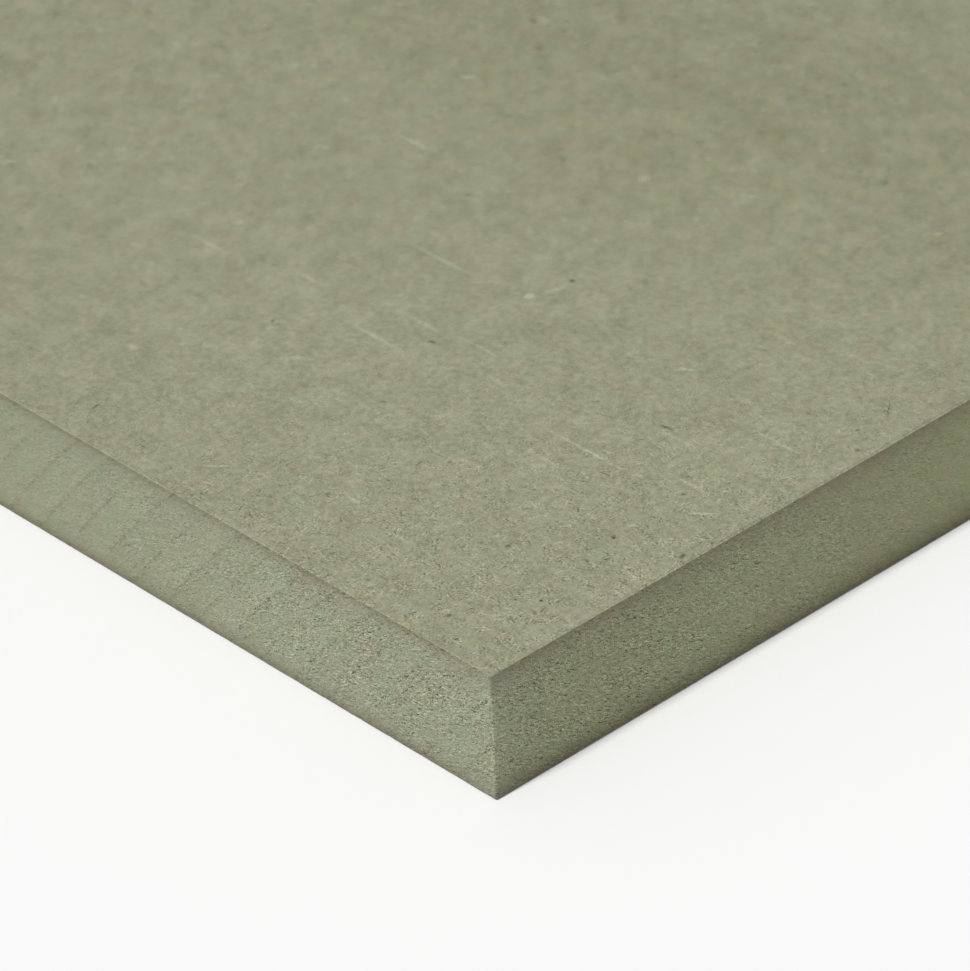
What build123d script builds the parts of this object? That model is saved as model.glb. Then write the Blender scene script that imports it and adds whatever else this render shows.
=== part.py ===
from build123d import *

import os

# A full sheet of moisture-resistant MDF: one pressed board with sanded faces and sawn edges.
# It lies flat, with its underside on Z = 0 and its middle over the origin.

# Driving dimensions, in millimetres
LENGTH = 2440.0  # along X, the way the faces were sanded
WIDTH = 1220.0  # along Y
THICKNESS = 18.0  # along Z
ARRIS_RADIUS = 0.3  # the light easing where two faces of the sheet meet


def make_mdf_board():
    """The whole sheet as one solid, with every arris eased."""
    on_the_floor = (Align.CENTER, Align.CENTER, Align.MIN)
    sheet = Box(LENGTH, WIDTH, THICKNESS, align=on_the_floor)
    return fillet(sheet.edges(), ARRIS_RADIUS)


os.makedirs("parts", exist_ok=True)
export_step(make_mdf_board(), "parts/mdf_board.step")
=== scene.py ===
import math
from collections import namedtuple

import bpy
import numpy as np
from mathutils import Matrix, Vector


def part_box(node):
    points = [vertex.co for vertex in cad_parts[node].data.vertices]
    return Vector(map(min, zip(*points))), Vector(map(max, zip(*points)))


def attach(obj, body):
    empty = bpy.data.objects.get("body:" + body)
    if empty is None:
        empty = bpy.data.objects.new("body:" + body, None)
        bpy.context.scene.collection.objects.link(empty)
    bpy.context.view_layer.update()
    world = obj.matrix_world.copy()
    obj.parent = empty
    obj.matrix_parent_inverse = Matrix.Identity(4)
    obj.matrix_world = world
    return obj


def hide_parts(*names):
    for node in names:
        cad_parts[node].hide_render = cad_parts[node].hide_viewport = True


# A sheet of moisture-resistant fibreboard on a pale floor, seen from above one corner.
# Sizes are in millimetres and angles in degrees unless a comment says otherwise; the scene is in metres.
# A tone says how much lighter or darker a colour gets: 0.1 is a tenth lighter.

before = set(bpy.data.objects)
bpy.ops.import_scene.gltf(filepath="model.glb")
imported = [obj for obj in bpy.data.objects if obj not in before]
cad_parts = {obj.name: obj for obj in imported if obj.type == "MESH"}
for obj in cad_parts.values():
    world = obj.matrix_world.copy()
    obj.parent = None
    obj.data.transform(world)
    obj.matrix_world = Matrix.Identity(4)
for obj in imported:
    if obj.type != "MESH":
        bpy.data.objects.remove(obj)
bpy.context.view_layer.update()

MM = 0.001
NODE = "mdf_board"
SEED = 7

# The sheet's size, from the frame
low_corner, high_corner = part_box(NODE)
LENGTH, WIDTH, THICKNESS = (high_corner - low_corner) / MM
FRONT_RIGHT = (LENGTH / 2, -WIDTH / 2, THICKNESS)

# The mesh: columns run round the edges, close together near the corners
ARRIS_RADIUS = 0.3
LOWER_ARRIS_SHARE = 0.6
CORNER_RADIUS = 0.3
ARRIS_STEPS = 3
CORNER_STEPS = 4
EDGE_ROWS = 14
CORNER_SPACING = 0.5
LONG_SPACING = 1.6
SHORT_SPACING = 8.0
CORNER_REACH = 80.0

# How suddenly a long edge becomes a short one round an upright corner
CORNER_SHARPNESS = 8

# How uneven the arrises are: over how many columns, and by what share of the radius
ARRIS_UNEVENNESS = ((9, 0.12), (2, 0.08))

# Wear of the upright corners: how far along each edge, how much less on the long ones, and its tone
LONG_EDGE_WEAR = 0.8
SHORT_EDGE_WEAR = 2.8
LONG_EDGE_WEAR_LOSS = 0.6
CORNER_WORN_TONE = 0.09

# Wear of the arrises, with a painted highlight that is stronger on the long edges: how much, how much less at
# the corners' tips, and its share of the colour and tone
LONG_ARRIS_WEAR_AND_HIGHLIGHT = 1.0
SHORT_ARRIS_WEAR_AND_HIGHLIGHT = 0.25
TIP_ARRIS_LOSS = 0.6
CORNER_TIP = (0.0, 12.0)
WORN_SHARE = 0.8
WORN_AND_HIGHLIGHT_TONE = 0.18

# Marks that the saw blade left on the long edges, and the lean of the fibres that it drew along
BLADE_RADIUS = 150.0
BLADE_AXIS_HEIGHT = -91.4
MARK_PITCH = 6.0
MARK_START = 0.46
MARK_DRIFTS = ((0.21, 0.05), (0.057, 0.08))
MARK_DEPTH = 0.04
MARK_WIDTH = 0.62
MARK_TONE = -0.18
STRETCH_TONE = 0.02
STRETCH_TURN = 2.9
FIBRE_LEAN = 25.0
FIBRE_DRAW = 0.36

# A shift that keeps the fibres of two edges from mirroring each other at a corner
EDGES_APART = 37.3

# The dense skins, as they show on the edges: the lower one reaches further in, partly as painted shade where
# the edges meet the floor
SKIN_DEPTH = 0.25
SKIN_FADE_LONG = 0.6
SKIN_FADE_SHORT = 1.0
LOWER_SKIN_SHADE_EXTRA = 0.3
RUBBED_SKIN = 0.5
SKIN_GRAIN = 0.58
CORE_GRAIN_DEPTH = (-1.0, 4.5)

# The warmer colour beside the skins, which keeps some of the short edges' yellow off
WARM_DEPTH = (3.3, 0.2)
WARM_SHORT_EXTRA = 0.45
LOWER_WARM_LACK = 0.3
LONG_EDGE_WARMTH = 0.8
WARM_SPARED = 0.4
TIP_SPARED = 0.5

# Painted shade down the edges, from the first distance to the second: below the upper face, and above the
# lower one
UPPER_SHADE_DEPTH = (8.0, 2.5)
UPPER_SHADE = -0.015
UPPER_SHADE_SHORT_EXTRA = -0.03
LOWER_SHADE_DEPTH = (5.0, 1.0)
LOWER_SHADE = -0.04
# Painted shade at the foot of the short edges, where they meet the floor: how fast it fades upward, and its
# tone
FOOT_SHADE_FADE = 2.0
FOOT_SHADE_TONE = -0.29
# The lowest millimetre of the edges turns greyer and bluer, partly as painted shade where they meet the
# floor: the heights where that starts and where it is full
FOOT_GREY_SHADE_DEPTH = (0.9, 0.2)

# How far from the sheet's corners the open grain starts to close and is rubbed smooth, and what is left of it
FINE_GRAIN_REACH = (20.0, 130.0)
SOFT_GRAIN_REACH = (60.0, 180.0)
EDGE_GRAIN_REACH = (15.0, 100.0)
FAR_FINE_GRAIN = 0.04
FAR_SOFT_GRAIN = 0.1
FAR_RELIEF = 0.2
FAR_EDGE_GRAIN = 0.2

# Further in, the edges' fine streaks are stronger, and on the short edges the grain is a little livelier
FAR_EDGE_STREAKS = 1.6
SHORT_EDGE_GRAIN = 1.04

# How far behind the front edge the upper face's pale strip ends, and the darker tone beyond it
PALE_STRIP = (100.0, 114.0)
BEYOND_STRIP_TONE = -0.052

# Relief and roughness of the surfaces; the face's roughness follows its grain over a range of the noise
FACE_RELIEF = 0.03
FACE_ROUGHNESS = (0.85, 0.72)
GRAIN_RANGE = (0.2, 0.8)
EDGE_RELIEF = 0.05
EDGE_ROUGHNESS = 0.9
SPECULAR = 0.25

# Noise that gives a tone: the size of its features, its tone, and how detailed and rough it is
NOISE_ROUGHNESS = 0.55
Grain = namedtuple("Grain", "size tone detail roughness", defaults=(2.0, NOISE_ROUGHNESS))
BELT_BANDS = Grain(70.0, 0.137, roughness=0.5)
FACE_CLOUDS = Grain(4.0, 0.17, detail=1.0)
SPOT_CLOUDS = Grain(1.6, 0.12, detail=1.0)
SOFT_GRAIN = Grain(1.0, 0.31, detail=1.0)
FINE_GRAIN = Grain(0.3, 0.74, roughness=0.6)
EDGE_CLOUDS = Grain(30.0, 0.06, detail=3.0)
EDGE_STREAKS = Grain(2.0, 0.09)
FINE_STREAKS = Grain(0.55, 0.09, detail=1.0)
CUT_GRAIN = Grain(0.2, 1.15, roughness=0.65)
DRAWN_GRAIN = Grain(0.17, 0.75, roughness=0.65)

# How the belts' bands are drawn out along the sheet and where they lie
BELT_DRAW = (0.3, 1.0, 1.0)
BELT_SHIFT = (400.0, 1800.0, 0.0)

# How far the skins' inner limit strays: a depth stands in for the tone
SKIN_RAGGED = Grain(1.2, 0.25)

# Noise that makes patches: the noise's values where a patch starts and is full, and the strengths there
Patches = namedtuple("Patches", "size detail start end low high", defaults=(0.0, 1.0))
BEIGE_PATCHES = Patches(3.2, 3.0, 0.3, 0.7)
STRAW_PATCHES = Patches(3.0, 1.0, 0.35, 0.8)
STRAW_SHIFT = (50.0, 20.0, 0.0)
FACE_GRAIN_PATCHES = Patches(2.5, 3.0, 0.38, 0.62, 0.5, 1.5)
EDGE_GRAIN_PATCHES = Patches(2.5, 3.0, 0.38, 0.62, 0.78, 1.22)
WORN_AND_HIGHLIGHT_PATCHES = Patches(1.5, 2.0, 0.35, 0.6, 0.5, 1.3)
BROKEN_MARKS = Patches(0.6, 2.0, 0.3, 0.6, 0.5, 1.0)
SAW_DOTS = Patches(0.7, 1.0, 0.36, 0.62)

# Scattered strokes, one to a cell at most: share is how many cells have one, turn how far it may turn in
# radians, bend how much it may bend, stretch how much longer than wide a cell is, and relief how far it
# stands out of the grain
STROKE_INPUTS = ("cell", "stretch", "length", "width", "turn", "bend", "share", "seed")
STROKE_FIELDS = "seed cell length width share tone turn bend stretch relief"
Strokes = namedtuple("Strokes", STROKE_FIELDS, defaults=(2 * math.pi, 0.0, 1.0, 0.0))
SCRATCHES = Strokes(1.0, 10.0, 12.0, 0.6, 0.5, 0.18, turn=0.08, stretch=2.0)
SCATTERED_SPECKS = Strokes(6.0, 10.0, 2.0, 0.6, 0.5, -0.25)
PALE_FINE_FIBRES = Strokes(3.0, 0.9, 1.4, 0.13, 0.95, 0.42, bend=0.7, relief=0.4)
DARK_FINE_FIBRES = Strokes(5.0, 0.85, 1.1, 0.14, 0.95, -0.37, bend=0.7, relief=-0.5)
PALE_FIBRES = Strokes(9.0, 2.2, 3.2, 0.18, 0.7, 0.38, bend=0.4)
DARK_FIBRES = Strokes(4.0, 2.2, 2.6, 0.16, 0.6, -0.38, bend=0.5)
PALE_SPOTS = Strokes(12.0, 2.2, 3.2, 0.8, 0.7, 0.08, turn=1.0)
DARK_SPOTS = Strokes(11.0, 2.2, 3.2, 0.8, 0.7, -0.08, turn=1.0)
CUT_FIBRES = Strokes(7.0, 0.5, 1.5, 0.11, 0.95, 0.76, turn=0.8, bend=0.4, stretch=2.0, relief=0.5)
CUT_PITS = Strokes(8.0, 0.5, 1.3, 0.11, 0.95, -0.72, turn=0.8, bend=0.4, stretch=2.0, relief=-0.6)
SEED_SHIFT = (31.7, 17.9, 0.0)

# Shares of a stroke's length from its middle to its ends, at least and by chance, and the full part of that
STROKE_REACH = (0.2, 0.3)
STROKE_CORE = 0.3

# The diagonal that the soft spots lie along
SPOT_ANGLE = 45.0
SPOT_DRAW = (0.5, 1.0, 1.0)

# Single marks on the upper face: how far each is left of the front right corner and behind it, and how long,
# wide and strong it is. One kind lies at one angle to the sheet's length, and its outlines stray by ragged.
Mark = namedtuple("Mark", "left back length width strength", defaults=[1.0])
Marks = namedtuple("Marks", "angle tone ragged spots")
RISING_ANGLE = 40.0
STEEP_ANGLE = 80.0
FALLING_ANGLE = -50.0
SPECK_ANGLE = 10.0
SANDING_ANGLE = 0.0
CLEAN = 0.0
UNEVEN = 0.25
ROUGH = 0.4
RAGGED_SIZE = 0.8

# A mark's soft rim, as shares of its length and width, and the full part of a mark
MARK_RIM = (0.7, 0.9)
MARK_CORE = 0.1

# How far from the front right corner scattered marks start to take over and have done so
MARKED_REACH = (185.0, 240.5)

BOLD_SCRATCHES = Marks(SANDING_ANGLE, 0.36, CLEAN, (
    Mark(26.9, 41.3, 14.5, 0.45),
    Mark(11.3, 44.7, 5.5, 0.5),
))
FAINT_SCRATCHES = Marks(SANDING_ANGLE, 0.22, CLEAN, (
    Mark(65.5, 41.3, 8.0, 0.5),
    Mark(63.0, 47.6, 8.0, 0.8),
    Mark(46.0, 44.6, 6.0, 0.9),
    Mark(27.0, 76.2, 5.0, 0.8),
    Mark(97.5, 41.9, 6.0, 0.8),
    Mark(97.0, 77.7, 6.0, 0.9),
    Mark(28.0, 36.4, 8.0, 0.65),
    Mark(28.5, 12.6, 7.0, 0.75),
    Mark(38.8, 14.3, 5.5, 0.5),
    Mark(39.0, 28.6, 6.5, 0.5),
    Mark(53.0, 48.6, 7.5, 0.5),
    Mark(73.0, 59.8, 13.0, 0.7),
    Mark(82.0, 45.0, 4.5, 0.6),
    Mark(20.0, 50.8, 6.0, 0.4),
    Mark(11.0, 58.6, 8.0, 0.4),
))
BRIGHT_FIBRES = Marks(RISING_ANGLE, 0.46, ROUGH, (
    Mark(58.0, 61.3, 1.8, 1.0),
))
STRAIGHT_FIBRES = Marks(RISING_ANGLE, 0.46, CLEAN, (
    Mark(6.0, 41.3, 3.4, 0.45),
    Mark(57.5, 7.7, 4.6, 0.4, 0.95),
))
RISING_FIBRES = Marks(RISING_ANGLE, 0.26, ROUGH, (
    Mark(30.7, 62.7, 3.2, 0.7),
    Mark(68.8, 31.0, 4.5, 1.0),
    Mark(45.5, 34.3, 2.6, 0.8),
    Mark(32.0, 45.5, 2.4, 1.8),
    Mark(18.3, 78.7, 1.8, 1.0),
    Mark(105.8, 68.7, 2.0, 1.3, 0.75),
    Mark(125.1, 49.9, 2.6, 1.4, 0.6),
    Mark(111.2, 49.2, 1.8, 1.2, 0.8),
    Mark(106.4, 54.6, 1.6, 1.2, 0.8),
    Mark(99.2, 48.1, 2.2, 1.2, 0.65),
    Mark(82.8, 126.7, 2.2, 1.2, 0.6),
    Mark(54.4, 98.2, 1.8, 1.2, 0.5),
    Mark(30.1, 107.8, 1.8, 0.9, 0.7),
    Mark(61.6, 76.5, 1.7, 1.2, 0.65),
    Mark(105.0, 94.6, 2.2, 1.2),
    Mark(134.0, 37.4, 2.6, 1.0, 0.85),
))
STEEP_FIBRES = Marks(STEEP_ANGLE, 0.22, ROUGH, (
    Mark(56.5, 64.7, 3.4, 1.0),
    Mark(38.7, 5.7, 2.4, 1.0),
    Mark(28.3, 34.6, 2.4, 1.4),
))
FALLING_FIBRES = Marks(FALLING_ANGLE, 0.24, ROUGH, (
    Mark(68.0, 91.9, 2.6, 1.4),
    Mark(18.0, 42.0, 2.6, 1.4),
    Mark(86.2, 18.6, 1.8, 1.3),
    Mark(2.2, 26.0, 1.8, 1.6),
))
SPECKS = Marks(SPECK_ANGLE, -0.64, UNEVEN, (
    Mark(10.3, 30.2, 0.6, 0.6),
    Mark(18.3, 20.4, 0.8, 0.9),
    Mark(56.5, 67.6, 0.9, 0.85, 0.9),
    Mark(23.2, 51.6, 2.1, 0.5, 0.8),
    Mark(59.0, 45.3, 1.4, 0.6, 0.7),
    Mark(12.8, 5.3, 0.8, 0.65),
    Mark(8.5, 2.6, 0.7, 0.4, 0.75),
    Mark(10.9, 42.6, 0.6, 0.5, 0.85),
    Mark(7.6, 26.3, 0.6, 0.45, 0.85),
    Mark(9.0, 24.5, 0.6, 0.4, 0.7),
    Mark(7.0, 14.9, 0.7, 0.65),
    Mark(9.4, 13.0, 0.5, 0.5, 0.7),
    Mark(37.0, 28.0, 0.7, 0.5, 0.9),
    Mark(79.0, 6.4, 0.45, 1.0, 0.9),
    Mark(53.3, 31.7, 1.2, 0.5, 0.65),
    Mark(63.0, 13.0, 0.6, 0.8, 0.4),
    Mark(12.0, 66.0, 2.6, 0.25, 0.55),
    Mark(25.3, 3.7, 0.7, 0.7, 0.72),
    Mark(5.3, 67.3, 0.6, 0.6, 0.72),
))
FALLING_SPECKS = Marks(FALLING_ANGLE, -0.58, UNEVEN, (
    Mark(1.5, 33.2, 1.5, 0.5),
    Mark(5.9, 73.5, 5.0, 0.14, 0.85),
    Mark(42.8, 13.0, 1.3, 0.6, 0.62),
    Mark(2.2, 64.0, 0.9, 0.65, 0.9),
    Mark(51.8, 51.3, 1.2, 0.7, 0.48),
    Mark(0.6, 37.3, 1.3, 0.3, 0.42),
    Mark(77.8, 35.0, 1.4, 0.6, 0.65),
    Mark(135.1, 84.8, 2.2, 1.3, 0.4),
    Mark(128.2, 49.2, 1.8, 1.2, 0.31),
    Mark(122.1, 65.2, 2.0, 1.2, 0.2),
    Mark(122.2, 84.2, 2.0, 1.6, 0.3),
    Mark(99.7, 50.7, 2.2, 1.2, 0.42),
    Mark(85.7, 111.6, 2.0, 1.3, 0.35),
    Mark(84.4, 113.4, 1.8, 1.3, 0.22),
    Mark(65.9, 127.4, 1.8, 1.4, 0.36),
    Mark(65.2, 110.7, 1.8, 1.3, 0.35),
    Mark(44.1, 112.5, 2.0, 1.1, 0.44),
    Mark(69.4, 103.4, 1.8, 1.1, 0.27),
    Mark(109.5, 111.1, 2.0, 1.3, 0.43),
    Mark(103.4, 106.4, 2.2, 1.5, 0.36),
    Mark(79.5, 88.1, 2.2, 1.1, 0.33),
    Mark(82.3, 73.3, 1.6, 1.7, 0.45),
))
PALE_MARKS = (
    BOLD_SCRATCHES,
    FAINT_SCRATCHES,
    BRIGHT_FIBRES,
    STRAIGHT_FIBRES,
    RISING_FIBRES,
    STEEP_FIBRES,
    FALLING_FIBRES,
)
DARK_MARKS = (SPECKS, FALLING_SPECKS)

# Camera: it looks at the corner between the front long edge and the right short edge
CAMERA_AZIMUTH = 48.553
CAMERA_ELEVATION = 33.432
CAMERA_ROLL = -3.094
CAMERA_LENS = 234.73
CAMERA_FROM_CORNER = (-1.352, 37.378, 750.595)

# Light, as shares of what reaches the upper face
SUN_FRONT = 0.37
SUN_DOWN = 0.66
SUN_SOFTNESS = 8.0
SKY = 0.34

# The floor: its size in metres, and the gap between it and the sheet
FLOOR_SIZE = 400.0
FLOOR_GAP = 0.05
FLOOR_COLOUR = (0.95, 0.95, 0.95, 1.0)


def srgb(red, green, blue):
    """A colour given as screen values from 0 to 255, in the linear values that shaders take."""
    shares = (value / 255 for value in (red, green, blue))
    return tuple(((share + 0.055) / 1.055) ** 2.4 for share in shares) + (1.0,)


# Colours, and tints that multiply a colour
SAGE_FACE = srgb(146.5, 151, 123.5)
BEIGE_FACE = srgb(151.5, 149, 125.5)
STRAW_FACE = srgb(149.5, 150, 121.5)
WORN_FACE = srgb(151.5, 149.5, 128.5)
SAGE_EDGE = srgb(146.4, 153.3, 129.2)
BEIGE_EDGE = srgb(152, 151.2, 130.2)
STRAW_EDGE = srgb(150.3, 153.3, 126.2)
SKIN = srgb(129, 128, 105.5)
SHORT_EDGE_TINT = (1.0, 1.0, 0.88, 1.0)
FURTHER_IN_TINT = (1.0, 1.0, 0.955, 1.0)
WARM_TINT = (1.0, 0.934, 0.963, 1.0)
# a greyer, bluer tint at the edges' foot, partly painted shade
FOOT_GREY_SHADE_TINT = (1.0, 1.0, 1.14, 1.0)
WHITE = (1.0, 1.0, 1.0, 1.0)
TONE_TINT = (1.0, 1.0, 1.15)
BELT_TINT = (0.93, 1.0, 1.33)


def add(tree, kind, inputs=None, **settings):
    """A new node; each input is a number, a colour or another node's output."""
    node = tree.nodes.new("ShaderNode" + kind)
    for name, value in settings.items():
        setattr(node, name, value)
    for name, value in (inputs or {}).items():
        if isinstance(value, bpy.types.NodeSocket):
            tree.links.new(value, node.inputs[name])
        else:
            node.inputs[name].default_value = value
    return node


def maths(tree, operation, *values):
    return add(tree, "Math", dict(enumerate(values)), operation=operation).outputs[0]


def times(tree, first, second):
    return maths(tree, "MULTIPLY", first, second)


def opposite(tree, share):
    """1 where the share is 0, and 0 where it is 1."""
    return maths(tree, "SUBTRACT", 1.0, share)


def total(tree, values):
    result = values[0]
    for value in values[1:]:
        result = maths(tree, "ADD", result, value)
    return result


def vector_maths(tree, operation, *values):
    return add(tree, "VectorMath", dict(enumerate(values)), operation=operation).outputs["Vector"]


def vector_value(tree, operation, *values):
    """A number worked out from vectors, such as a length."""
    return add(tree, "VectorMath", dict(enumerate(values)), operation=operation).outputs["Value"]


def combined(tree, x, y, z=0.0):
    return add(tree, "CombineXYZ", {"X": x, "Y": y, "Z": z}).outputs[0]


def separated(tree, vector):
    return add(tree, "SeparateXYZ", {0: vector}).outputs


def rotated(tree, vector, angle):
    """The vector turned about Z by an angle in radians."""
    return add(tree, "VectorRotate", {"Vector": vector, "Angle": angle}, rotation_type="Z_AXIS").outputs[0]


def ramp(tree, value, start, end, low=0.0, high=1.0):
    """A smooth step from low to high as value goes from start to end."""
    inputs = {"Value": value, "From Min": start, "From Max": end, "To Min": low, "To Max": high}
    return add(tree, "MapRange", inputs, interpolation_type="SMOOTHSTEP").outputs[0]


def mix(tree, share, first, second):
    """The first colour where share is 0, and the second where it is 1."""
    return add(tree, "Mix", {0: share, 6: first, 7: second}, data_type="RGBA").outputs[2]


def noise(tree, place, size, detail, roughness):
    """Soft noise from 0 to 1, with features about size millimetres across."""
    inputs = {"Vector": place, "Scale": 1 / size, "Detail": detail, "Roughness": roughness}
    return add(tree, "TexNoise", inputs).outputs["Fac"]


def grained(tree, place, grain):
    """The noise of one kind of grain, from 0 to 1."""
    return noise(tree, place, grain.size, grain.detail, grain.roughness)


def swing(tree, value, amount):
    """A tone that goes from -amount to +amount as value goes from 0 to 1."""
    return maths(tree, "MULTIPLY_ADD", value, 2 * amount, -amount)


def grain_tone(tree, place, grain):
    return swing(tree, grained(tree, place, grain), grain.tone)


def patchy(tree, place, patches):
    """Soft patches, from the low value between them to the high one in them."""
    value = noise(tree, place, patches.size, patches.detail, NOISE_ROUGHNESS)
    return ramp(tree, value, patches.start, patches.end, patches.low, patches.high)


def attribute(tree, name):
    return add(tree, "Attribute", attribute_name=name).outputs["Fac"]


def stroke_cell(tree, given):
    """The place measured from the middle of a stroke's cell, and three chance values of that cell."""
    narrow = maths(tree, "DIVIDE", 1.0, given["Stretch"])
    squeeze = combined(tree, narrow, 1.0, 1.0)
    shift = vector_maths(tree, "MULTIPLY", SEED_SHIFT, given["Seed"])
    place = vector_maths(tree, "ADD", given["Place"], shift)
    place = vector_maths(tree, "MULTIPLY", place, squeeze)
    scale = maths(tree, "DIVIDE", 1.0, given["Cell"])
    cell = add(tree, "TexVoronoi", {"Vector": place, "Scale": scale}, voronoi_dimensions="2D").outputs
    from_middle = vector_maths(tree, "SUBTRACT", place, cell["Position"])
    from_middle = vector_maths(tree, "DIVIDE", from_middle, squeeze)
    return from_middle, add(tree, "SeparateColor", {"Color": cell["Color"]}).outputs


def make_stroke_group():
    """A node group that scatters short strokes, one to a cell, and gives their strength from 0 to 1."""
    group = bpy.data.node_groups.new("short_strokes", "ShaderNodeTree")
    group.interface.new_socket("Place", in_out="INPUT", socket_type="NodeSocketVector")
    for name in STROKE_INPUTS:
        group.interface.new_socket(name.capitalize(), in_out="INPUT", socket_type="NodeSocketFloat")
    group.interface.new_socket("Strength", in_out="OUTPUT", socket_type="NodeSocketFloat")
    given = group.nodes.new("NodeGroupInput").outputs
    result = group.nodes.new("NodeGroupOutput").inputs

    from_middle, chance = stroke_cell(group, given)
    turn = times(group, maths(group, "SUBTRACT", chance[0], 0.5), given["Turn"])
    local = separated(group, rotated(group, from_middle, turn))
    curve = times(group, maths(group, "SUBTRACT", chance[1], 0.5), given["Bend"])
    curve = times(group, curve, times(group, local["X"], local["X"]))
    off_line = maths(group, "ABSOLUTE", maths(group, "ADD", local["Y"], curve))
    across = ramp(group, off_line, given["Width"], 0.0)

    shortest, spread = STROKE_REACH
    reach = times(group, given["Length"], maths(group, "MULTIPLY_ADD", chance[1], spread, shortest))
    ends = ramp(group, maths(group, "ABSOLUTE", local["X"]), reach, times(group, reach, STROKE_CORE))
    inputs = {"Value": chance[2], "From Min": given["Share"], "From Max": 0.0}
    strength = add(group, "MapRange", inputs).outputs[0]
    stroke = times(group, times(group, across, ends), strength)
    group.links.new(stroke, result["Strength"])
    return group


def scattered(tree, group, place, kind):
    """Scattered strokes of one kind over a surface, from 0 to 1."""
    node = tree.nodes.new("ShaderNodeGroup")
    node.node_tree = group
    tree.links.new(place, node.inputs["Place"])
    for name in STROKE_INPUTS:
        node.inputs[name.capitalize()].default_value = getattr(kind, name)
    return node.outputs["Strength"]


def scattered_tone(tree, group, place, kind):
    return times(tree, scattered(tree, group, place, kind), kind.tone)


def new_material(name):
    """A material with an empty tree, that tree, and the object's place in millimetres."""
    material = bpy.data.materials.new(name)
    material.use_nodes = True
    tree = material.node_tree
    tree.nodes.clear()
    coordinates = add(tree, "TexCoord").outputs["Object"]
    place = vector_maths(tree, "MULTIPLY", coordinates, (1 / MM, 1 / MM, 1 / MM))
    return material, tree, place


def finish_material(tree, colour, height, depth, roughness):
    """The dull surface: colour, fine relief up to depth millimetres deep, and roughness."""
    bump = add(tree, "Bump", {"Height": height, "Distance": depth * MM, "Strength": 1.0})
    inputs = {"Base Color": colour, "Roughness": roughness, "Normal": bump.outputs[0]}
    shader = add(tree, "BsdfPrincipled", inputs)
    shader.inputs["Specular IOR Level"].default_value = SPECULAR
    output = add(tree, "OutputMaterial")
    tree.links.new(shader.outputs[0], output.inputs["Surface"])


def mottled(tree, place, sage, beige, straw):
    """Sage that drifts to pinkish beige and to straw in soft patches."""
    colour = mix(tree, patchy(tree, place, BEIGE_PATCHES), sage, beige)
    elsewhere = vector_maths(tree, "ADD", place, STRAW_SHIFT)
    return mix(tree, patchy(tree, elsewhere, STRAW_PATCHES), colour, straw)


def toned(tree, colour, tones, tint=TONE_TINT):
    """The colour made lighter or darker by the sum of the tones."""
    tone = add(tree, "VectorMath", {0: tint, "Scale": total(tree, tones)}, operation="SCALE")
    return vector_maths(tree, "MULTIPLY_ADD", colour, tone.outputs[0], colour)


def tinted(tree, colour, share, tint):
    """The colour multiplied by a tint where share is 1, and as it was where share is 0."""
    return vector_maths(tree, "MULTIPLY", colour, mix(tree, share, WHITE, tint))


def near_corner(tree, place, reach):
    """1 near the sheet's corners and 0 further in, over a reach that is measured along both sides."""
    out = vector_maths(tree, "ABSOLUTE", place)
    out = vector_value(tree, "DOT_PRODUCT", out, (1.0, 1.0, 0.0))
    corner = (LENGTH + WIDTH) / 2
    start, end = reach
    return ramp(tree, out, corner - end, corner - start)


def fading(tree, share, other):
    """A strength that is 1 where the share is 1, and another where it is 0."""
    return maths(tree, "MULTIPLY_ADD", share, 1 - other, other)


def roughened(tree, place, reach):
    """The place shifted this way and that by less than reach, which makes a mark's outline uneven."""
    inputs = {"Vector": place, "Scale": 1 / RAGGED_SIZE, "Detail": 1.0}
    shift = add(tree, "TexNoise", inputs).outputs["Color"]
    shift = vector_maths(tree, "MULTIPLY_ADD", shift, (2 * reach, 2 * reach, 0.0), (-reach, -reach, 0.0))
    return vector_maths(tree, "ADD", place, shift)


def single_marks(tree, from_corner, marks):
    """The tone of marks of one kind, full at the middle of a mark and gone beyond its soft rim."""
    slant = math.radians(marks.angle)
    turned = rotated(tree, from_corner, -slant)
    nearest = None
    for mark in marks.spots:
        half = Vector((mark.length * MARK_RIM[0], mark.width * MARK_RIM[1], 1.0))
        middle = Matrix.Rotation(-slant, 3, "Z") @ Vector((-mark.left, mark.back, 0.0))
        scale = [1 / side for side in half]
        shift = [-value / side for value, side in zip(middle, half)]
        away = vector_value(tree, "LENGTH", vector_maths(tree, "MULTIPLY_ADD", turned, scale, shift))
        if mark.strength < 1:
            away = maths(tree, "MULTIPLY_ADD", away, mark.strength, 1 - mark.strength)
        nearest = away if nearest is None else maths(tree, "MINIMUM", nearest, away)
    return times(tree, ramp(tree, nearest, 1.0, MARK_CORE), marks.tone)


def face_marks(tree, group, place):
    """Tones of the scratches, pale fibres and specks: single ones near one corner, scattered ones beyond."""
    from_corner = vector_maths(tree, "SUBTRACT", place, FRONT_RIGHT)
    outlines = {CLEAN: from_corner}
    for ragged in (UNEVEN, ROUGH):
        outlines[ragged] = roughened(tree, from_corner, ragged)
    beyond = ramp(tree, vector_value(tree, "LENGTH", from_corner), *MARKED_REACH)
    pale = [single_marks(tree, outlines[marks.ragged], marks) for marks in PALE_MARKS]
    pale.append(times(tree, scattered_tone(tree, group, place, SCRATCHES), beyond))
    dark = [single_marks(tree, outlines[marks.ragged], marks) for marks in DARK_MARKS]
    dark.append(times(tree, scattered_tone(tree, group, place, SCATTERED_SPECKS), beyond))
    return [times(tree, total(tree, pale), patchy(tree, place, BROKEN_MARKS))] + dark


def belt_bands(tree, place):
    """Broad light and dark bands along the sheet, from the sanding belts."""
    drawn = vector_maths(tree, "MULTIPLY_ADD", place, BELT_DRAW, BELT_SHIFT)
    return grain_tone(tree, drawn, BELT_BANDS)


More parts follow.
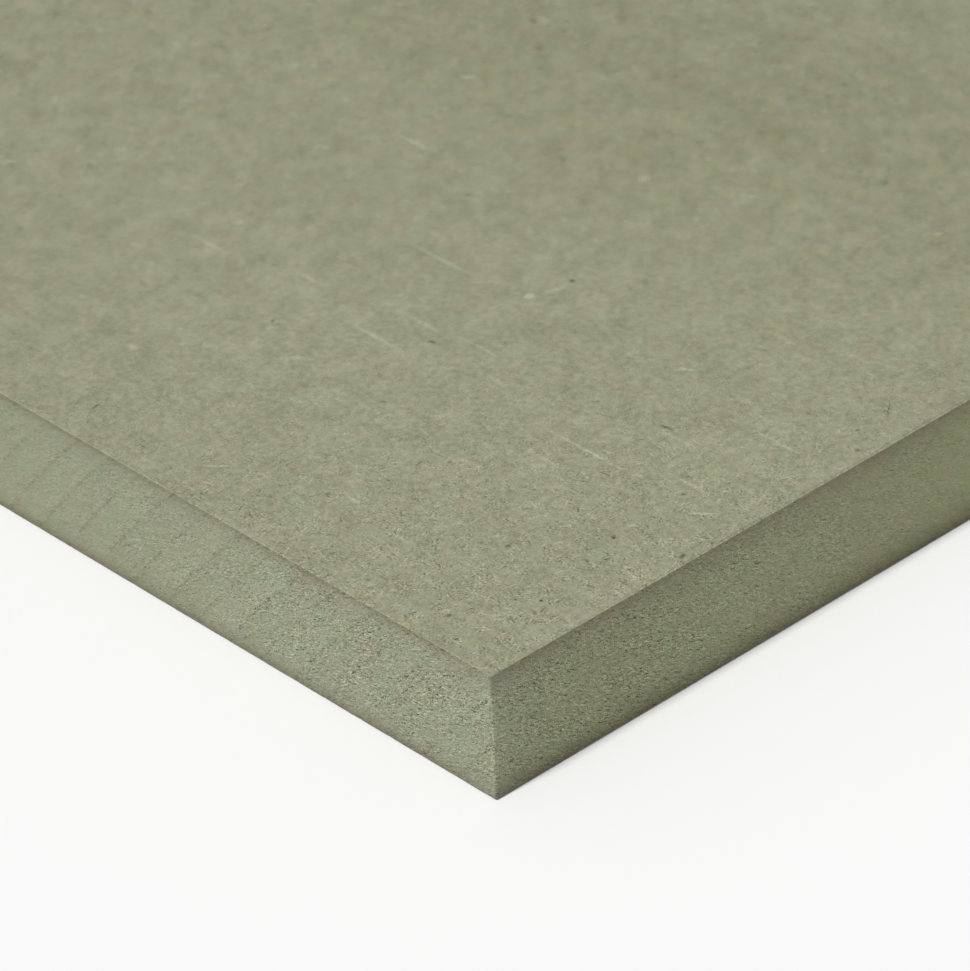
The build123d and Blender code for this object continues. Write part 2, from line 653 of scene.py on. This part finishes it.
def beyond_strip(tree, place):
    """A tone that is a little darker beyond the pale strip along the front edge."""
    start, end = (distance - WIDTH / 2 for distance in PALE_STRIP)
    return ramp(tree, separated(tree, place)["Y"], start, end, 0.0, BEYOND_STRIP_TONE)


def soft_spots(tree, group, place):
    """A tone of soft dark and pale spots, drawn out a little along a diagonal."""
    diagonal = rotated(tree, place, math.radians(SPOT_ANGLE))
    drawn = vector_maths(tree, "MULTIPLY", diagonal, SPOT_DRAW)
    spots = [scattered_tone(tree, group, diagonal, kind) for kind in (DARK_SPOTS, PALE_SPOTS)]
    return total(tree, spots + [grain_tone(tree, drawn, SPOT_CLOUDS)])


def face_fibres(tree, group, place):
    """The face's fine grain, and the relief and the tone that the grain and the fibres give."""
    grain = grained(tree, place, FINE_GRAIN)
    pale = scattered(tree, group, place, PALE_FINE_FIBRES)
    dark = scattered(tree, group, place, DARK_FINE_FIBRES)
    tones = [
        swing(tree, grain, FINE_GRAIN.tone),
        times(tree, pale, PALE_FINE_FIBRES.tone),
        times(tree, dark, DARK_FINE_FIBRES.tone),
        scattered_tone(tree, group, place, PALE_FIBRES),
        scattered_tone(tree, group, place, DARK_FIBRES),
    ]
    raised = times(tree, pale, PALE_FINE_FIBRES.relief)
    sunken = times(tree, dark, DARK_FINE_FIBRES.relief)
    return grain, total(tree, [grain, raised, sunken]), total(tree, tones)


def face_material(group):
    """The sanded faces: cloudy sage and beige, fine grain, pale scratches, and light and dark fibres."""
    material, tree, place = new_material("mdf_face")
    wear_and_highlight = attribute(tree, "arris_wear_and_highlight")
    near = near_corner(tree, place, FINE_GRAIN_REACH)
    soft = near_corner(tree, place, SOFT_GRAIN_REACH)
    grain, height, fibres = face_fibres(tree, group, place)
    open_grain = times(tree, patchy(tree, place, FACE_GRAIN_PATCHES), fading(tree, near, FAR_FINE_GRAIN))
    tones = [
        beyond_strip(tree, place),
        grain_tone(tree, place, FACE_CLOUDS),
        times(tree, grain_tone(tree, place, SOFT_GRAIN), fading(tree, soft, FAR_SOFT_GRAIN)),
        times(tree, soft_spots(tree, group, place), opposite(tree, near)),
        times(tree, fibres, open_grain),
        # worn arrises: paler, and lightened partly as a painted highlight
        times(tree, times(tree, wear_and_highlight, WORN_AND_HIGHLIGHT_TONE), patchy(tree, place, WORN_AND_HIGHLIGHT_PATCHES)),
    ]
    tones += face_marks(tree, group, place)
    colour = mottled(tree, place, SAGE_FACE, BEIGE_FACE, STRAW_FACE)
    colour = toned(tree, colour, [belt_bands(tree, place)], BELT_TINT)
    colour = toned(tree, mix(tree, times(tree, wear_and_highlight, WORN_SHARE), colour, WORN_FACE), tones)
    height = times(tree, height, fading(tree, near, FAR_RELIEF))
    roughness = ramp(tree, grain, *GRAIN_RANGE, *FACE_ROUGHNESS)
    finish_material(tree, colour, height, FACE_RELIEF, roughness)
    return material


def saw_tone(tree, axes):
    """The tone of the blade's marks: fine broken lines, and stretches between them that differ a little."""
    above_axis = maths(tree, "SUBTRACT", axes["Z"], BLADE_AXIS_HEIGHT)
    squared = times(tree, above_axis, above_axis)
    lean = maths(tree, "SQRT", maths(tree, "SUBTRACT", BLADE_RADIUS**2, squared))
    feed = maths(tree, "ADD", axes["X"], lean)
    number = maths(tree, "MULTIPLY_ADD", feed, 1 / MARK_PITCH, MARK_START)
    for rate, amount in MARK_DRIFTS:
        number = maths(tree, "MULTIPLY_ADD", maths(tree, "SINE", times(tree, feed, rate)), amount, number)
    off_line = maths(tree, "ABSOLUTE", maths(tree, "SUBTRACT", maths(tree, "FRACT", number), 0.5))
    line = ramp(tree, times(tree, off_line, MARK_PITCH), MARK_WIDTH, 0.0)
    dots = patchy(tree, combined(tree, axes["X"], axes["Y"], axes["Z"]), SAW_DOTS)
    after_line = maths(tree, "FRACT", maths(tree, "ADD", number, 0.5))
    stretch = maths(tree, "SINE", times(tree, maths(tree, "ROUND", number), STRETCH_TURN))
    dashes = times(tree, times(tree, line, dots), MARK_TONE)
    return total(tree, [dashes, times(tree, stretch, STRETCH_TONE), swing(tree, after_line, STRETCH_TONE)])


# What the parts of the edges' material have in common: places, shares from 0 to 1 and distances
Edge = namedtuple("Edge", "place axes long short near tip below_top from_skin drawn flat")


def edge_places(tree, place):
    """Where a point of the edges lies: on a long or a short edge, how near a corner, and how deep."""
    axes = separated(tree, place)
    long_edge = maths(tree, "ROUND", attribute(tree, "long_edge"))
    below_top = maths(tree, "SUBTRACT", THICKNESS, axes["Z"])
    lean = math.radians(FIBRE_LEAN)
    along = maths(tree, "SUBTRACT", axes["X"], axes["Y"])
    leaned = maths(tree, "MULTIPLY_ADD", along, -math.tan(lean), axes["Z"])
    apart = maths(tree, "MULTIPLY_ADD", long_edge, EDGES_APART, along)
    return Edge(
        place=place,
        axes=axes,
        long=long_edge,
        short=opposite(tree, long_edge),
        near=near_corner(tree, place, EDGE_GRAIN_REACH),
        tip=near_corner(tree, place, CORNER_TIP),
        below_top=below_top,
        # the lower skin reaches further in: partly painted shade where the edges meet the floor
        from_skin=maths(tree, "MINIMUM", maths(tree, "SUBTRACT", axes["Z"], LOWER_SKIN_SHADE_EXTRA), below_top),
        drawn=combined(tree, times(tree, axes["X"], FIBRE_DRAW), times(tree, axes["Y"], FIBRE_DRAW), leaned),
        flat=rotated(tree, combined(tree, apart, axes["Z"]), -lean),
    )


def edge_fibres(tree, group, edge):
    """The relief and the tone of the cut fibre and its open pits."""
    grain = grained(tree, edge.place, CUT_GRAIN)
    pale = scattered(tree, group, edge.flat, CUT_FIBRES)
    pits = scattered(tree, group, edge.flat, CUT_PITS)
    tones = [
        swing(tree, grain, CUT_GRAIN.tone),
        grain_tone(tree, edge.drawn, DRAWN_GRAIN),
        times(tree, pale, CUT_FIBRES.tone),
        times(tree, pits, CUT_PITS.tone),
    ]
    raised = times(tree, pale, CUT_FIBRES.relief)
    sunken = times(tree, pits, CUT_PITS.relief)
    return total(tree, [grain, raised, sunken]), total(tree, tones)


def open_edge_grain(tree, edge):
    """How open the edges' grain is: less so in the skins and further from the corners."""
    core = ramp(tree, edge.from_skin, *CORE_GRAIN_DEPTH, SKIN_GRAIN, 1.0)
    core = times(tree, core, fading(tree, edge.long, SHORT_EDGE_GRAIN))
    core = times(tree, core, fading(tree, edge.near, FAR_EDGE_GRAIN))
    return times(tree, patchy(tree, edge.drawn, EDGE_GRAIN_PATCHES), core)


def edge_tones(tree, edge, fibres):
    """The edges' tones: clouds, streaks, fibres, blade marks, rubbed corners, and painted shade down the edge
    and at the short edges' foot.
    """
    height = edge.axes["Z"]
    fine_streaks = grain_tone(tree, edge.drawn, FINE_STREAKS)
    shade = maths(tree, "MULTIPLY_ADD", edge.short, UPPER_SHADE_SHORT_EXTRA, UPPER_SHADE)
    foot_shade = maths(tree, "EXPONENT", times(tree, height, -1 / FOOT_SHADE_FADE))
    return [
        grain_tone(tree, edge.place, EDGE_CLOUDS),
        grain_tone(tree, edge.drawn, EDGE_STREAKS),
        times(tree, fine_streaks, fading(tree, edge.near, FAR_EDGE_STREAKS)),
        times(tree, fibres, open_edge_grain(tree, edge)),
        times(tree, saw_tone(tree, edge.axes), edge.long),
        times(tree, attribute(tree, "corner_wear"), CORNER_WORN_TONE),
        # painted shade below the upper face and above the lower one
        times(tree, ramp(tree, edge.below_top, *UPPER_SHADE_DEPTH), shade),
        times(tree, ramp(tree, height, *LOWER_SHADE_DEPTH), LOWER_SHADE),
        # painted shade at the foot of the short edges
        times(tree, times(tree, foot_shade, FOOT_SHADE_TONE), edge.short),
    ]


def skin_share(tree, edge):
    """How much of the dense skin's brown shows: all of it at the faces, with a ragged fade further in."""
    ragged = maths(tree, "ADD", edge.from_skin, grain_tone(tree, edge.place, SKIN_RAGGED))
    fade = maths(tree, "MULTIPLY_ADD", edge.long, SKIN_FADE_LONG - SKIN_FADE_SHORT, SKIN_FADE_SHORT)
    depth = maths(tree, "DIVIDE", maths(tree, "SUBTRACT", SKIN_DEPTH, ragged), fade)
    skin = maths(tree, "MINIMUM", maths(tree, "EXPONENT", depth), 1.0)
    rubbed = times(tree, edge.tip, edge.long)
    return times(tree, skin, fading(tree, opposite(tree, rubbed), RUBBED_SKIN))


def edge_colour(tree, edge):
    """The edges' colour: sage and beige, warmer beside the skins, yellower on the short edges, and greyer at
    the foot, partly as painted shade.
    """
    height = edge.axes["Z"]
    depth = maths(tree, "MINIMUM", maths(tree, "ADD", height, LOWER_WARM_LACK), edge.below_top)
    depth = maths(tree, "MULTIPLY_ADD", edge.short, -WARM_SHORT_EXTRA, depth)
    warm = ramp(tree, depth, *WARM_DEPTH)
    warmed = times(tree, warm, fading(tree, edge.short, LONG_EDGE_WARMTH))
    spared = total(tree, [times(tree, warm, -WARM_SPARED), times(tree, edge.tip, -TIP_SPARED)])
    yellowed = maths(tree, "MULTIPLY_ADD", spared, edge.short, edge.short)
    yellowed = maths(tree, "MAXIMUM", yellowed, 0.0)
    colour = mottled(tree, edge.place, SAGE_EDGE, BEIGE_EDGE, STRAW_EDGE)
    colour = mix(tree, skin_share(tree, edge), tinted(tree, colour, warmed, WARM_TINT), SKIN)
    colour = tinted(tree, colour, yellowed, SHORT_EDGE_TINT)
    colour = tinted(tree, colour, opposite(tree, edge.near), FURTHER_IN_TINT)
    # greyer and bluer at the foot: partly painted shade where the edges meet the floor
    return tinted(tree, colour, ramp(tree, height, *FOOT_GREY_SHADE_DEPTH), FOOT_GREY_SHADE_TINT)


def edge_material(group):
    """The sawn edges: coarse cut fibre, open pits, blade marks and the dense brown skins."""
    material, tree, place = new_material("mdf_sawn_edge")
    edge = edge_places(tree, place)
    height, fibres = edge_fibres(tree, group, edge)
    colour = toned(tree, edge_colour(tree, edge), edge_tones(tree, edge, fibres))
    finish_material(tree, colour, height, EDGE_RELIEF, EDGE_ROUGHNESS)
    return material


def edge_stops(length, spacing):
    """Places of the mesh columns along an edge, measured from its middle, closest near both corners."""
    half = length / 2 - CORNER_RADIUS
    stops = [0.0]
    while stops[-1] < half:
        far = min(1.0, stops[-1] / CORNER_REACH)
        stops.append(stops[-1] + CORNER_SPACING + (spacing - CORNER_SPACING) * far)
    from_corner = np.array(stops) * half / stops[-1]
    return np.concatenate([from_corner - half, (half - from_corner)[-2::-1]])


def front_places(length, depth, spacing):
    """Places along a front edge and round its right corner, each with the angle that it faces in radians."""
    places = [(stop, -depth / 2, -math.pi / 2) for stop in edge_stops(length, spacing)]
    for step in range(1, CORNER_STEPS):
        angle = (step / CORNER_STEPS - 1) * math.pi / 2
        x = length / 2 - CORNER_RADIUS + CORNER_RADIUS * math.cos(angle)
        y = CORNER_RADIUS - depth / 2 + CORNER_RADIUS * math.sin(angle)
        places.append((x, y, angle))
    return places


def sheet_outline():
    """Points round the sheet, anticlockwise from the front edge's left end, with the way each one faces."""
    points = []
    facing = []
    sides = []
    edges = [(LENGTH, WIDTH, LONG_SPACING), (WIDTH, LENGTH, SHORT_SPACING)] * 2
    for side, edge in enumerate(edges):
        turn = side * math.pi / 2
        cosine, sine = math.cos(turn), math.sin(turn)
        for x, y, angle in front_places(*edge):
            points.append((x * cosine - y * sine, x * sine + y * cosine))
            facing.append((math.cos(angle + turn), math.sin(angle + turn)))
            sides.append(side)
    return np.array(points), np.array(facing), np.array(sides)


def saw_relief(along, height):
    """Depth of the blade's marks: shallow leaning arcs, a little unevenly spaced."""
    feed = along + np.sqrt(BLADE_RADIUS**2 - (height - BLADE_AXIS_HEIGHT) ** 2)
    number = feed / MARK_PITCH + MARK_START
    for rate, amount in MARK_DRIFTS:
        number = number + amount * np.sin(feed * rate)
    off_line = (number - np.floor(number) - 0.5) * MARK_PITCH
    return MARK_DEPTH * np.exp(-((off_line / MARK_WIDTH) ** 2))


def smooth_chance(chance, count, reach):
    """Random values from -1 to 1, smoothed over about reach neighbours, round a closed ring."""
    raw = chance.uniform(-1, 1, count)
    kernel = np.hanning(reach + 2)
    wide = np.concatenate([raw[-reach:], raw, raw[:reach]])
    soft = np.convolve(wide, kernel / kernel.sum(), "same")[reach:-reach]
    return soft / np.abs(soft).max()


def edge_profile(count):
    """Height and inset of each row of each column, from the lower arris to the upper one."""
    chance = np.random.default_rng(SEED)
    uneven = sum(share * smooth_chance(chance, count, reach) for reach, share in ARRIS_UNEVENNESS)
    upper = ARRIS_RADIUS * (1 + uneven)[:, None]
    lower = upper * LOWER_ARRIS_SHARE
    turns = np.linspace(0, math.pi / 2, ARRIS_STEPS + 1)
    rise = 1 - np.cos(turns)
    pull = 1 - np.sin(turns)
    rows = np.linspace(0, 1, EDGE_ROWS + 1)[1:-1]
    between = lower + (THICKNESS - lower - upper) * rows
    height = np.hstack([lower * rise, between, (THICKNESS - upper * rise)[:, ::-1]])
    inset = np.hstack([lower * pull, np.zeros_like(between), (upper * pull)[:, ::-1]])
    return height, inset


def wear_layers(points, on_long_edge, shape):
    """Layers that say, for each row of each column, where the long edges, the wear and the painted arris
    highlight are.
    """
    to_corner = (LENGTH + WIDTH) / 2 - np.abs(points).sum(axis=1, keepdims=True)
    reach = SHORT_EDGE_WEAR + (LONG_EDGE_WEAR - SHORT_EDGE_WEAR) * on_long_edge
    corner_wear = (1 - LONG_EDGE_WEAR_LOSS * on_long_edge) * np.exp(-((to_corner / reach) ** 2))
    tip_loss = TIP_ARRIS_LOSS * np.exp(-to_corner / CORNER_TIP[1])
    long_extra = LONG_ARRIS_WEAR_AND_HIGHLIGHT - SHORT_ARRIS_WEAR_AND_HIGHLIGHT - tip_loss
    arris_wear_and_highlight = np.zeros(shape)
    # the arrises' wear, with a painted highlight, more on the long edges
    arris_wear_and_highlight[:, [1, -2]] = SHORT_ARRIS_WEAR_AND_HIGHLIGHT + on_long_edge * long_extra
    layers = {"long_edge": on_long_edge, "corner_wear": corner_wear, "arris_wear_and_highlight": arris_wear_and_highlight}
    return {name: np.broadcast_to(layer, shape) for name, layer in layers.items()}


def board_points(points, facing):
    """Vertex places by column and row, with the layers of the long edges and the wear."""
    height, inset = edge_profile(len(points))
    on_long_edge = np.abs(facing[:, 1:]) ** CORNER_SHARPNESS
    inward = inset + on_long_edge * saw_relief(points[:, :1], height)
    places = np.empty(height.shape + (3,))
    places[..., :2] = points[:, None, :] - facing[:, None, :] * inward[..., None]
    places[..., 2] = height
    return places, wear_layers(points, on_long_edge, height.shape)


def board_faces(sides, row_count):
    """Faces of the closed sheet: the ring of edge faces, then strips across the upper and lower faces."""
    count = len(sides)
    ring = []
    for column in range(count):
        after = (column + 1) % count
        for row in range(row_count - 1):
            a = column * row_count + row
            b = after * row_count + row
            ring.append((a, b, b + 1, a + 1))
    front = np.flatnonzero(sides == 0)[: 1 - CORNER_STEPS]
    back = np.flatnonzero(sides == 2)[: 1 - CORNER_STEPS][::-1]
    right_end = list(range(front[-1], back[-1] + 1))
    left_end = list(range(back[0], count)) + [0]
    caps = [right_end, left_end]
    caps += [[front[i], front[i + 1], back[i + 1], back[i]] for i in range(len(front) - 1)]
    upper = [[column * row_count + row_count - 1 for column in cap] for cap in caps]
    lower = [[column * row_count for column in reversed(cap)] for cap in caps]
    return ring, upper + lower


def paint_board(mesh, sides, row_count):
    """Gives the ring round the edges the sawn finish, but for its sanded arrises, and the rest the face's."""
    group = make_stroke_group()
    mesh.materials.append(face_material(group))
    mesh.materials.append(edge_material(group))
    ring_count = len(sides) * (row_count - 1)
    row = np.arange(ring_count) % (row_count - 1)
    from_face = np.minimum(row, row_count - 2 - row)
    sanded_rows = np.repeat(1 + sides % 2, row_count - 1)
    sawn = np.zeros(len(mesh.polygons), np.int32)
    sawn[:ring_count] = from_face >= sanded_rows
    rounded = np.arange(len(mesh.polygons)) < ring_count
    mesh.polygons.foreach_set("material_index", sawn)
    mesh.polygons.foreach_set("use_smooth", rounded)


def make_board():
    """The whole sheet as one closed mesh."""
    points, facing, sides = sheet_outline()
    places, layers = board_points(points, facing)
    row_count = places.shape[1]
    ring, faces = board_faces(sides, row_count)
    mesh = bpy.data.meshes.new("board_sheet")
    mesh.from_pydata((places * MM).reshape(-1, 3).tolist(), [], ring + faces)
    for name, values in layers.items():
        layer = mesh.attributes.new(name, "FLOAT", "POINT")
        layer.data.foreach_set("value", values.astype(np.float32).ravel())
    paint_board(mesh, sides, row_count)
    mesh.update()
    board = bpy.data.objects.new("board_sheet", mesh)
    bpy.context.scene.collection.objects.link(board)
    return board


def make_floor():
    """A plain pale floor, much wider than any view."""
    half = FLOOR_SIZE / 2
    corners = [(-half, -half, 0), (half, -half, 0), (half, half, 0), (-half, half, 0)]
    mesh = bpy.data.meshes.new("floor")
    mesh.from_pydata(corners, [], [(0, 1, 2, 3)])
    material = bpy.data.materials.new("pale_floor")
    material.use_nodes = True
    shader = material.node_tree.nodes["Principled BSDF"]
    shader.inputs["Base Color"].default_value = FLOOR_COLOUR
    shader.inputs["Roughness"].default_value = 1.0
    shader.inputs["Specular IOR Level"].default_value = 0.0
    mesh.materials.append(material)
    floor = bpy.data.objects.new("floor", mesh)
    floor.location.z = low_corner.z - FLOOR_GAP * MM
    bpy.context.scene.collection.objects.link(floor)
    return floor


def make_light():
    """One soft sun from the front and an even sky."""
    to_sun = Vector((0.0, -SUN_FRONT, SUN_DOWN))
    light = bpy.data.lights.new("soft_sun", "SUN")
    light.energy = to_sun.length * math.pi
    light.angle = math.radians(SUN_SOFTNESS)
    sun = bpy.data.objects.new("soft_sun", light)
    sun.rotation_euler = to_sun.to_track_quat("Z", "Y").to_euler()
    bpy.context.scene.collection.objects.link(sun)

    world = bpy.data.worlds.new("even_sky")
    world.use_nodes = True
    background = world.node_tree.nodes["Background"]
    background.inputs["Color"].default_value = WHITE
    background.inputs["Strength"].default_value = SKY
    bpy.context.scene.world = world


def make_camera():
    """A long lens that looks down on the corner at the front right."""
    azimuth = math.radians(CAMERA_AZIMUTH)
    elevation = math.radians(CAMERA_ELEVATION)
    flat = math.cos(elevation)
    back = Vector((math.sin(azimuth) * flat, -math.cos(azimuth) * flat, math.sin(elevation)))
    right = Vector((math.cos(azimuth), math.sin(azimuth), 0.0))
    level = Matrix((right, back.cross(right), back)).transposed()
    turned = level @ Matrix.Rotation(math.radians(CAMERA_ROLL), 3, "Z")
    corner = Vector((high_corner.x, low_corner.y, low_corner.z))

    lens = bpy.data.cameras.new("camera")
    lens.lens = CAMERA_LENS
    lens.clip_end = FLOOR_SIZE
    camera = bpy.data.objects.new("camera", lens)
    place = corner + turned @ Vector(CAMERA_FROM_CORNER) * MM
    camera.matrix_world = Matrix.Translation(place) @ turned.to_4x4()
    bpy.context.scene.collection.objects.link(camera)
    bpy.context.scene.camera = camera


board = make_board()
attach(board, "root")
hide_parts(NODE)

make_floor()
make_light()
make_camera()
bpy.context.scene.view_settings.view_transform = "Standard"
